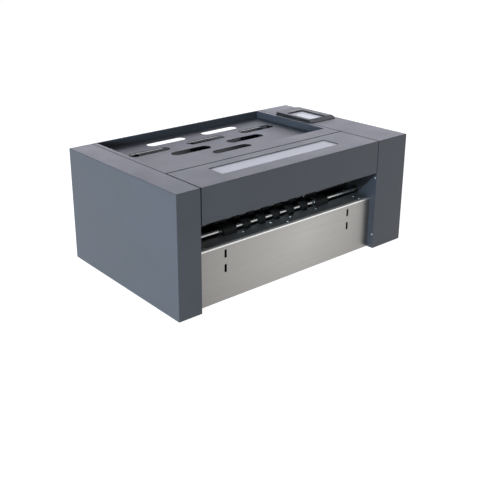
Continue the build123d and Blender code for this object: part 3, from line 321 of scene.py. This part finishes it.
# %% Ground, plated and milled metal
AROUND = (1, 9, 9)
ground_steel = brushed_steel("ground_steel_shaft", "#BCBCBC", "#C8C8C8", (0.26, 0.32),
                             0.8, AROUND)
dull_steel = brushed_steel("dull_oiled_steel", "#6A6B6D", "#77787A", (0.36, 0.44),
                           0.8, AROUND)
bronze = brushed_steel("dark_oiled_bronze", "#2A2624", "#332E2B", (0.40, 0.50), 2.0, EVEN)
tool_steel = brushed_steel("ground_tool_steel", "#8C8C8E", "#A0A0A2", (0.24, 0.36),
                           1.0, (1, 8, 8))
zinc_plate = brushed_steel("zinc_plated_steel", "#9FA3A8", "#B4B7BA", (0.28, 0.44), 6.0, EVEN)
milled = brushed_steel("milled_aluminium", "#B0B1B3", "#C3C4C6", (0.26, 0.38),
                       1.5, (1, 20, 20))
dress(ground_steel, "exit_shaft", "feed_shaft", "feed_pinch_shaft", "hood_pins",
      "crease_camshaft", "cutter_camshaft")
dress(dull_steel, "transfer_shaft", "transfer_pinch_shaft", "crease_yokes", "cutter_yokes")
dress(bronze, "shaft_bearings")
dress(tool_steel, "crease_blade", "crease_die", "cutter_knife", "counter_knife",
      "pinch_springs")
dress(zinc_plate, "offcut_bin", "motor_standoffs", "head_gearmotors", "power_supply",
      "case_screws")
dress(milled, "exit_pulley", "transfer_pulley", "feed_pulley", "motor_pulley", "head_guides",
      "crease_beam", "cutter_beam")

# %% [markdown]
# ## Rubber and moulded plastic
# The rollers, the belt and the feet are black rubber, matte with a fine bloom of chalk. The
# bezel, the inlet and the switch are moulded black ABS, whose mould was spark eroded to a fine
# sandy texture that hides sink marks. The shaft supports and the sensors are glass-filled nylon,
# which is tougher, and its fibres leave it rougher and duller. The sprung blocks are white
# acetal, which is waxy: it lets a little light in, and its gloss is soft. The real grain of all
# these is about 0.3 mm. It is drawn at 0.8 mm, and at 2 mm on the acetal, so that it shows close
# up.

# %% Rubber and moulded plastic
BLOOM_MM = 25.0
MOULD_GRAIN_MM = 0.8
ACETAL_GRAIN_MM = 2.0


def moulded(name, dark, light, roughness, sockets, grain_mm, height_mm):
    return finish(name, light, sockets, tone=(BLOOM_MM, EVEN, 3.0), dark=dark,
                  roughness=roughness, relief=(grain_mm, EVEN, 2.0), height_mm=height_mm,
                  strength=0.4)


rubber = moulded("black_rubber", "#08080A", "#0D0D0E", (0.6, 0.75), {"IOR": 1.33},
                 MOULD_GRAIN_MM, 0.03)
abs_black = moulded("spark_eroded_black_ABS", "#0B0B0C", "#101011", (0.42, 0.50),
                    {"IOR": 1.5}, MOULD_GRAIN_MM, 0.02)
nylon = moulded("glass_filled_black_nylon", "#0A0A0B", "#0E0E0F", (0.55, 0.70),
                {"IOR": 1.33}, MOULD_GRAIN_MM, 0.03)
acetal = moulded("white_acetal", "#D8D8D2", "#E2E2DC", (0.35, 0.45),
                 {"IOR": 1.48, "Subsurface Weight": 0.1, "Subsurface Scale": 0.002},
                 ACETAL_GRAIN_MM, 0.01)
dress(rubber, "rubber_feet", "exit_rollers", "transfer_pinch_rollers", "transfer_rollers",
      "feed_rollers", "feed_pinch_rollers", "drive_belt")
dress(abs_black, "display_bezel", "power_inlet", "switch_housing", "rocker")
dress(nylon, "shaft_supports", "sheet_sensors")
dress(acetal, "pinch_blocks")

# %% [markdown]
# ## Inlay plate
# The pale plate in the hood's top is thin aluminium with a satin lacquer, glued into a shallow
# pocket. It is bare. Most of what is seen is the lacquer, so the shader is only one fifth metal.
# The fine grain runs along the plate, as stretched noise again, and it stays level: a lacquer
# fills the scratches.

# %% Inlay plate
inlay = finish("satin_lacquered_aluminium", "#AEADB2", {"IOR": 1.5, "Metallic": 0.2},
               tone=(1.0, (60, 1, 1), 2.0), dark="#A5A4AA", roughness=(0.38, 0.5))
dress(inlay, "hood_inlay")

# %% [markdown]
# ## Display and circuit board
# The display is a light panel under an anti-glare film, and it is switched off, so nothing
# glows. The film is clear and a little rough. A clear coat on the shader is the cheapest way to
# such a layer: it adds one soft reflection over the panel and needs no second mesh. The circuit
# board is glass fibre under green solder mask, which is glossy and a little uneven over the
# copper tracks, a few millimetres apart.

# %% Display and circuit board
panel = finish("display_panel_under_film", "#CFCED4",
               {"IOR": 1.5, "Coat Weight": 0.15, "Coat Roughness": 0.2, "Coat IOR": 1.5},
               tone=(30.0, EVEN, 2.0), dark="#C9C8CE", roughness=(0.3, 0.4))
dress(panel, "touch_screen")
solder_mask = finish("green_solder_mask", "#17563A", {"IOR": 1.55}, tone=(6.0, EVEN, 0.0),
                     dark="#0F3F26", roughness=(0.25, 0.35))
dress(solder_mask, "control_board")

# %% [markdown]
# ## Islands of a node
# All the rollers of a row, or all the screws, share one CAD node. To put a finished piece in the
# place of each, their places are read from the node itself: its triangles are joined where they
# touch, and each island of joined faces gives one box. Nothing is typed in twice, so the pieces
# follow the CAD wherever it puts them. A second function does what every finished piece needs:
# it closes the mesh, turns its faces outwards, and lets it ride on a body of the machine.

# %% Islands and finished pieces
def islands(name):
    """Lowest and highest corner of each separate solid in a CAD node, from left to right."""
    mesh = bmesh.new()
    mesh.from_mesh(frame["nodes"][name].data)
    bmesh.ops.remove_doubles(mesh, verts=mesh.verts, dist=1e-6)
    waiting = set(mesh.verts)
    boxes = []
    while waiting:
        group = [waiting.pop()]
        for vert in group:
            for edge in vert.link_edges:
                other = edge.other_vert(vert)
                if other in waiting:
                    waiting.remove(other)
                    group.append(other)
        low = Vector([min(v.co[i] for v in group) for i in range(3)])
        high = Vector([max(v.co[i] for v in group) for i in range(3)])
        boxes.append((low, high))
    mesh.free()
    return sorted(boxes, key=lambda box: tuple(box[0]))


def loose_object(mesh, name):
    """Turn a bmesh into an object in the scene."""
    data = bpy.data.meshes.new(name)
    mesh.to_mesh(data)
    mesh.free()
    thing = bpy.data.objects.new(name, data)
    bpy.context.scene.collection.objects.link(thing)
    return thing


def finished(mesh, name, body, material):
    """Turn a bmesh into a piece that rides on a body."""
    bmesh.ops.remove_doubles(mesh, verts=mesh.verts, dist=1e-7)
    bmesh.ops.recalc_face_normals(mesh, faces=mesh.faces)
    piece = loose_object(mesh, name)
    piece.data.materials.append(material)
    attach(piece, body)
    print(name, len(piece.data.polygons), "faces")
    return piece


print("solids in case_screws:", len(islands("case_screws")))

# %% [markdown]
# ## Rubber rollers
# Each roller is a rubber sleeve moulded on a plastic core. The sleeve's corners are rounded so
# that they don't mark the sheet, the core stands back at both ends, and a fine groove each side
# of the middle lets the rubber give. A lathe makes such a shape, and spin is Blender's lathe:
# the section is drawn as a few points, half of them mirrored, and turned about the shaft.

# %% Rubber rollers
BORE = 4.52 * MM
CORE_RADIUS = 6.5 * MM
EDGE = 1.4 * MM
GROOVE = 0.5 * MM
GROOVE_PLACE = 4.0 * MM
ROLLER_STEPS = 48
SHARP_FROM = math.radians(40)
QUARTER_TURN = [math.radians(15 * k) for k in range(7)]


def roller_section(half, radius):
    """Section of a roller from one end of its bore to the other, as (x, radius)."""
    hub = [(-half + EDGE, BORE), (-half + EDGE, CORE_RADIUS), (-half, CORE_RADIUS + GROOVE)]
    rim = [(-half + EDGE * (1 - math.cos(a)), radius - EDGE * (1 - math.sin(a)))
           for a in QUARTER_TURN]
    groove = [(-GROOVE_PLACE - GROOVE, radius), (-GROOVE_PLACE, radius - GROOVE),
              (-GROOVE_PLACE + GROOVE, radius)]
    left = hub + rim + groove
    return left + [(-x, r) for x, r in reversed(left)]


def spin_about_x(mesh, centre, section, steps):
    """Turn a closed section of (x, radius) points about the X axis through a centre."""
    points = [mesh.verts.new((centre.x + x, centre.y, centre.z + r)) for x, r in section]
    edges = [mesh.edges.new((points[i - 1], points[i])) for i in range(len(points))]
    bmesh.ops.spin(mesh, geom=points + edges, cent=centre, axis=(1, 0, 0), angle=math.tau,
                   steps=steps, use_merge=True)


for row in ("exit", "transfer", "transfer_pinch", "feed", "feed_pinch"):
    node = row + "_rollers"
    sleeves = bmesh.new()
    for low, high in islands(node):
        section = roller_section((high.x - low.x) / 2, (high.z - low.z) / 2)
        spin_about_x(sleeves, (low + high) / 2, section, ROLLER_STEPS)
    piece = finished(sleeves, node + "_rubber", body_of[node], rubber)
    for face in piece.data.polygons:
        face.use_smooth = True
    piece.data.set_sharp_from_angle(angle=SHARP_FROM)
    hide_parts(node)

# %% [markdown]
# ## Cross-recess screws
# The covers' cheeks and the exit table are held by small pan-head screws. A pan head is a low
# dome with a cross-shaped pocket for the driver. The dome is turned on the lathe again, and the
# cross is cut with a Boolean modifier, which is the quickest way to take one closed shape out of
# another. One bar of the cross is a hair higher than the other, because a Boolean is surer when
# no two faces lie in one plane. One screw is made at the origin, and then set at each place with
# its head outwards.

# %% One screw
HEAD_RADIUS = 2.8 * MM
HEAD_HEIGHT = 1.8 * MM
HEAD_WALL = 0.35
SHANK_RADIUS = 1.5 * MM
SCREW_STEPS = 32
CROSS_BAR = (3.0 * MM, 0.6 * MM, 1.6 * MM)
HAIR = 0.02 * MM


def turned(section, steps):
    """Solid of revolution about Z from (radius, z) points that start and end on the axis."""
    mesh = bmesh.new()
    points = [mesh.verts.new((r, 0, z)) for r, z in section]
    edges = [mesh.edges.new(pair) for pair in zip(points, points[1:])]
    bmesh.ops.spin(mesh, geom=points + edges, cent=(0, 0, 0), axis=(0, 0, 1),
                   angle=math.tau, steps=steps, use_merge=True)
    bmesh.ops.remove_doubles(mesh, verts=mesh.verts, dist=1e-7)
    bmesh.ops.recalc_face_normals(mesh, faces=mesh.faces)
    return mesh


def screw_mesh(shank):
    """Pan-head screw with its head's seat at z = 0 and its shank below."""
    dome = [(HEAD_RADIUS * math.cos(a),
             HEAD_HEIGHT * (HEAD_WALL + (1 - HEAD_WALL) * math.sin(a))) for a in QUARTER_TURN]
    section = [(0, -shank), (SHANK_RADIUS, -shank), (SHANK_RADIUS, 0), (HEAD_RADIUS, 0)]
    section += dome[:-1] + [(0, HEAD_HEIGHT)]
    head = loose_object(turned(section, SCREW_STEPS), "screw_blank")
    cross = bmesh.new()
    for turn, lift in ((0, 0), (math.pi / 2, HAIR)):
        bar = bmesh.ops.create_cube(cross, size=1.0)["verts"]
        bmesh.ops.scale(cross, verts=bar, vec=CROSS_BAR)
        bmesh.ops.rotate(cross, verts=bar, cent=(0, 0, 0),
                         matrix=Matrix.Rotation(turn, 3, "Z"))
        bmesh.ops.translate(cross, verts=bar, vec=(0, 0, HEAD_HEIGHT + lift))
    cutter = loose_object(cross, "cross_cutter")
    cut = head.modifiers.new("cross_recess", "BOOLEAN")
    cut.operation = "DIFFERENCE"
    cut.use_self = True
    cut.object = cutter
    graph = bpy.context.evaluated_depsgraph_get()
    result = bpy.data.meshes.new_from_object(head.evaluated_get(graph))
    bpy.data.objects.remove(head)
    bpy.data.objects.remove(cutter)
    return result


print("screw head:", round(2 * HEAD_RADIUS / MM, 1), "mm across")

# %% [markdown]
# ## Screws in their places
# The box of a screw tells which way it points. Where its height and depth are equal it lies
# along X, in a cheek, and its head is on the side of the paper's way. Otherwise it stands
# upright in the exit table. Those are turned by an odd angle, as no fitter lines up the
# crosses.

# %% Screws in their places
SAME_SIZE = 0.01 * MM
ODD_TURN = math.radians(37)

inlay_low, inlay_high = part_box("hood_inlay")
middle_x = (inlay_low[0] + inlay_high[0]) / 2
screws = bmesh.new()
for low, high in islands("case_screws"):
    size = high - low
    middle = (low + high) / 2
    if abs(size.y - size.z) < SAME_SIZE:
        inwards = 1 if middle.x < middle_x else -1
        seat = Vector((high.x if inwards > 0 else low.x, middle.y, middle.z))
        seat.x -= inwards * HEAD_HEIGHT
        turn = Matrix.Rotation(math.radians(90 * inwards), 4, "Y")
        length = size.x
    else:
        seat = Vector((middle.x, middle.y, high.z - HEAD_HEIGHT))
        turn = Matrix.Rotation(ODD_TURN, 4, "Z")
        length = size.z
    one = screw_mesh(length - HEAD_HEIGHT)
    one.transform(Matrix.Translation(seat) @ turn)
    screws.from_mesh(one)
    bpy.data.meshes.remove(one)
piece = finished(screws, "pan_head_screws", body_of["case_screws"], zinc_plate)
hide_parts("case_screws")

# %% [markdown]
# ## Snap rings
# Spring-steel rings snap into grooves at both sides of each shaft support and keep the shafts
# from wandering. A ring is a short tube with its corners broken, so it is spun like a roller,
# from a section of six points.

# %% Snap rings
RING_HEIGHT = 1.6 * MM
RING_THICK = 0.9 * MM
RING_GAP = 0.15 * MM
RING_STEPS = 32
CHAMFER = 0.2 * MM

RING_OUTER = BORE + RING_HEIGHT
ring_section = [(0, BORE), (0, RING_OUTER - CHAMFER), (CHAMFER, RING_OUTER),
                (RING_THICK - CHAMFER, RING_OUTER), (RING_THICK, RING_OUTER - CHAMFER),
                (RING_THICK, BORE)]
for row in ("exit", "transfer"):
    shaft_low, shaft_high = (Vector(c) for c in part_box(row + "_shaft"))
    axis = (shaft_low + shaft_high) / 2
    rings = bmesh.new()
    for low, high in islands("shaft_supports"):
        if low.y < axis.y < high.y:
            for x in (low.x - RING_GAP - RING_THICK, high.x + RING_GAP):
                spin_about_x(rings, Vector((x, axis.y, axis.z)), ring_section, RING_STEPS)
    finished(rings, row + "_snap_rings", row + "_roller", tool_steel)

# %% [markdown]
# ## Mains inlet
# The three contacts of the inlet are nickel-plated blades with rounded ends, pressed into the
# plastic. Each is a cube scaled to size, with its edges bevelled, which is quicker than drawing
# a rounded outline and keeps every corner alike.

# %% Mains inlet
BLADE = Vector((2.3, 10.3, 4.3)) * MM
BLADE_PLACES = ((-7, -2), (0, 2), (7, -2))
BLADE_DEPTH = 11.0 * MM
BLADE_EDGE = 0.5 * MM


def rounded_block(mesh, low, high, edge):
    """Block between two corners with bevelled edges."""
    low, high = Vector(low), Vector(high)
    verts = bmesh.ops.create_cube(mesh, size=1.0)["verts"]
    bmesh.ops.scale(mesh, verts=verts, vec=high - low)
    bmesh.ops.translate(mesh, verts=verts, vec=(low + high) / 2)
    edges = list({e for v in verts for e in v.link_edges})
    bmesh.ops.bevel(mesh, geom=edges, offset=edge, segments=2, profile=0.5, affect="EDGES",
                    material=-1)


inlet_low, inlet_high = (Vector(c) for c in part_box("power_inlet"))
inlet = (inlet_low + inlet_high) / 2
blades = bmesh.new()
for dx, dz in BLADE_PLACES:
    centre = Vector((inlet.x + dx * MM, inlet_high.y - BLADE_DEPTH, inlet.z + dz * MM))
    rounded_block(blades, centre - BLADE / 2, centre + BLADE / 2, BLADE_EDGE)
nickel = brushed_steel("nickel_plated_brass", "#C2BEB4", "#CFCBC2", (0.16, 0.24), 5.0, EVEN)
finished(blades, "inlet_blades", "housing", nickel)

# %% [markdown]
# ## Marks on the mains switch
# The rocker carries the two generic marks for on and off, a bar and a ring, printed in white.
# Pad printing lays down a film of ink a few hundredths of a millimetre thick. It could be
# painted on by a material, but that would follow the plastic's rough edges, so each mark is a
# thin block of its own, sunk a little into the face. They are made upright at the origin and
# tilted with the rocker.

# %% Marks on the mains switch
ROCKER_TILT = math.radians(10)
ROCKER_FACE = 4.0 * MM
INK_TOP = ROCKER_FACE + 0.06 * MM
INK_SUNK = ROCKER_FACE - 0.1 * MM
INK_EDGE = 0.03 * MM
BAR_HALF_WIDTH = 0.4 * MM
BAR_Z = (2.5 * MM, 6.0 * MM)
RING_Z = -4.2 * MM
RING_RADII = (1.3 * MM, 1.9 * MM)
MARK_STEPS = 32

print_white = finish("white_pad_print", "#E4E4E0", {"IOR": 1.45}, tone=(0.8, EVEN, 1.0),
                     roughness=(0.4, 0.6))
rocker_low, rocker_high = (Vector(c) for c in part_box("rocker"))
marks = bmesh.new()
rounded_block(marks, (-BAR_HALF_WIDTH, INK_SUNK, BAR_Z[0]),
              (BAR_HALF_WIDTH, INK_TOP, BAR_Z[1]), INK_EDGE)
inner, outer = RING_RADII
circle = [marks.verts.new((r, y, RING_Z)) for r, y in (
    (inner, INK_SUNK), (inner, INK_TOP), (outer, INK_TOP), (outer, INK_SUNK))]
hoop = [marks.edges.new((circle[i - 1], circle[i])) for i in range(len(circle))]
bmesh.ops.spin(marks, geom=circle + hoop, cent=(0, 0, RING_Z), axis=(0, 1, 0),
               angle=math.tau, steps=MARK_STEPS, use_merge=True)
bmesh.ops.rotate(marks, verts=marks.verts, cent=(0, 0, 0),
                 matrix=Matrix.Rotation(ROCKER_TILT, 3, "X"))
bmesh.ops.translate(marks, verts=marks.verts, vec=(rocker_low + rocker_high) / 2)
finished(marks, "rocker_marks", "mains_rocker", print_white)

# %% [markdown]
# ## Circuit board parts
# The board stands upright inside the left cover, with its parts facing outwards. The chips are
# black epoxy, and the sockets along the top edge are white nylon: both are bevelled blocks. The
# capacitors are aluminium cans with a bead rolled in near the foot, so they come off the lathe.
# Their places follow the board's own box, in even steps, and each part's foot is let into the
# board by a little, so that no gap shows.

# %% Chips and sockets
STANDOFF_AND_BOARD = 12.6 * MM
LET_IN = 0.3 * MM
CHIP_EDGE, SOCKET_EDGE = 0.3 * MM, 0.6 * MM
# Each chip: place along and up the board, width and height in mm, and how far it stands out.
CHIPS = ((0.42, 0.25, 14, 14, 2.0), (0.62, 0.62, 10, 7, 1.6), (0.45, 0.66, 7, 10, 1.6),
         (0.78, 0.30, 12, 8, 2.2))
SOCKETS = 5
SOCKET_DEPTH, SOCKET_WIDTH, SOCKET_HEIGHT = 9 * MM, 15 * MM, 7 * MM
SOCKET_START, SOCKET_SPACING = 12 * MM, 22 * MM
TOP_MARGIN = 2 * MM

board_low, board_high = (Vector(c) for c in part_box("control_board"))
board_face = board_high.x - STANDOFF_AND_BOARD
foot = board_face + LET_IN
span = board_high - board_low
chips = bmesh.new()
for along, up, width, height_mm, proud in CHIPS:
    y = board_low.y + along * span.y
    z = board_low.z + up * span.z
    rounded_block(chips, (board_face - proud * MM, y, z),
                  (foot, y + width * MM, z + height_mm * MM), CHIP_EDGE)
finished(chips, "board_chips", "housing", abs_black)

sockets = bmesh.new()
top = board_high.z - TOP_MARGIN
for k in range(SOCKETS):
    y = board_low.y + SOCKET_START + k * SOCKET_SPACING
    rounded_block(sockets, (board_face - SOCKET_DEPTH, y, top - SOCKET_HEIGHT),
                  (foot, y + SOCKET_WIDTH, top), SOCKET_EDGE)
finished(sockets, "board_sockets", "housing", acetal)

# %% Capacitors
CANS = 3
CAN_SPACING = 14 * MM
CAN_STEPS = 24
FIRST_CAN_UP, CANS_FROM_REAR = 12 * MM, 14 * MM
CAN_SECTION_MM = ((0, 0), (4.6, 0), (5.0, 0.5), (5.0, 2.0), (4.6, 2.5), (5.0, 3.0),
                  (5.0, 15.0), (4.4, 15.6), (0, 15.6))

cans = bmesh.new()
for k in range(CANS):
    can = turned([(r * MM, z * MM) for r, z in CAN_SECTION_MM], CAN_STEPS)
    place = Matrix.Translation((board_face, board_high.y - CANS_FROM_REAR,
                                board_low.z + FIRST_CAN_UP + k * CAN_SPACING))
    bmesh.ops.transform(can, verts=can.verts,
                        matrix=place @ Matrix.Rotation(-math.pi / 2, 4, "Y"))
    data = bpy.data.meshes.new("can")
    can.to_mesh(data)
    can.free()
    cans.from_mesh(data)
    bpy.data.meshes.remove(data)
finished(cans, "board_capacitors", "housing", milled)

# %% [markdown]
# ## Floor
# The machine stands on a white sweep, the studio's seamless paper, which turns up into a low
# wall all round, far away. Strong light from every side burns such paper out to pure white. To
# light it so strongly here would also burn out the machine, so the paper both reflects and glows
# a little. It starts as a circle, whose rim is extruded upwards.

# %% Floor
SWEEP_RADIUS = 12.0
SWEEP_HEIGHT = 2.0
SWEEP_SIDES = 96
GLOW = 0.96

sweep = bmesh.new()
bmesh.ops.create_circle(sweep, cap_ends=True, radius=SWEEP_RADIUS, segments=SWEEP_SIDES)
rim = [edge for edge in sweep.edges if edge.is_boundary]
wall = bmesh.ops.extrude_edge_only(sweep, edges=rim)["geom"]
bmesh.ops.translate(sweep, verts=[v for v in wall if isinstance(v, bmesh.types.BMVert)],
                    vec=(0, 0, SWEEP_HEIGHT))
floor = loose_object(sweep, "floor")
paper = finish("white_seamless_paper", "#808080",
               {"Emission Color": (1, 1, 1, 1), "Emission Strength": GLOW, "Roughness": 0.9},
               relief=(3.0, EVEN, 2.0), height_mm=0.02, strength=0.1)
floor.data.materials.append(paper)
print("sweep across:", 2 * SWEEP_RADIUS, "m")

# %% [markdown]
# ## Light
# Soft boxes light the machine: one overhead, two at the left, one at the front right, and a
# bright backdrop behind, which is what the flat tops mirror. The front gets little light of its
# own, so the front faces keep their depth. A lamp's power says little about how bright it looks,
# because a large box spreads it. So each box is given by its radiance, the brightness of its
# face, and its power follows from its area.

# %% Soft boxes
AIM = Vector((0, 0, 0.12))
ROOM_LIGHT = 0.03
# Each box: name, place, width and height, radiance and colour.
SOFT_BOXES = (
    ("overhead_box", (0.0, 0.2, 2.4), (2.4, 2.4), 1.0, "#FFFFFF"),
    ("front_left_box", (-2.4, -0.75, 0.50), (1.8, 0.35), 58.0, "#DDF3FD"),
    ("left_box", (-2.2, 0.2, 0.7), (1.6, 1.2), 5.4, "#DDF3FD"),
    ("backdrop_light", (2.2, 2.9, 1.3), (7.0, 2.6), 2.25, "#F0F0FF"),
    ("front_right_box", (1.30, -1.45, 1.05), (1.3, 2.0), 0.9, "#FFFFFF"),
)

world = bpy.data.worlds.new("studio")
bpy.context.scene.world = world
world.use_nodes = True
background = world.node_tree.nodes["Background"]
background.inputs["Color"].default_value = (1, 1, 1, 1)
background.inputs["Strength"].default_value = ROOM_LIGHT
bpy.context.scene.view_settings.view_transform = "Standard"

for name, place, size, radiance, colour in SOFT_BOXES:
    data = bpy.data.lights.new(name, "AREA")
    data.shape = "RECTANGLE"
    data.size, data.size_y = size
    data.energy = radiance * math.pi * size[0] * size[1]
    data.color = linear(colour)[:3]
    light = bpy.data.objects.new(name, data)
    aim = (AIM - Vector(place)).to_track_quat("-Z", "Y")
    light.matrix_world = Matrix.Translation(place) @ aim.to_matrix().to_4x4()
    light.visible_camera = False
    bpy.context.scene.collection.objects.link(light)
    print(name, round(data.energy, 1), "W")
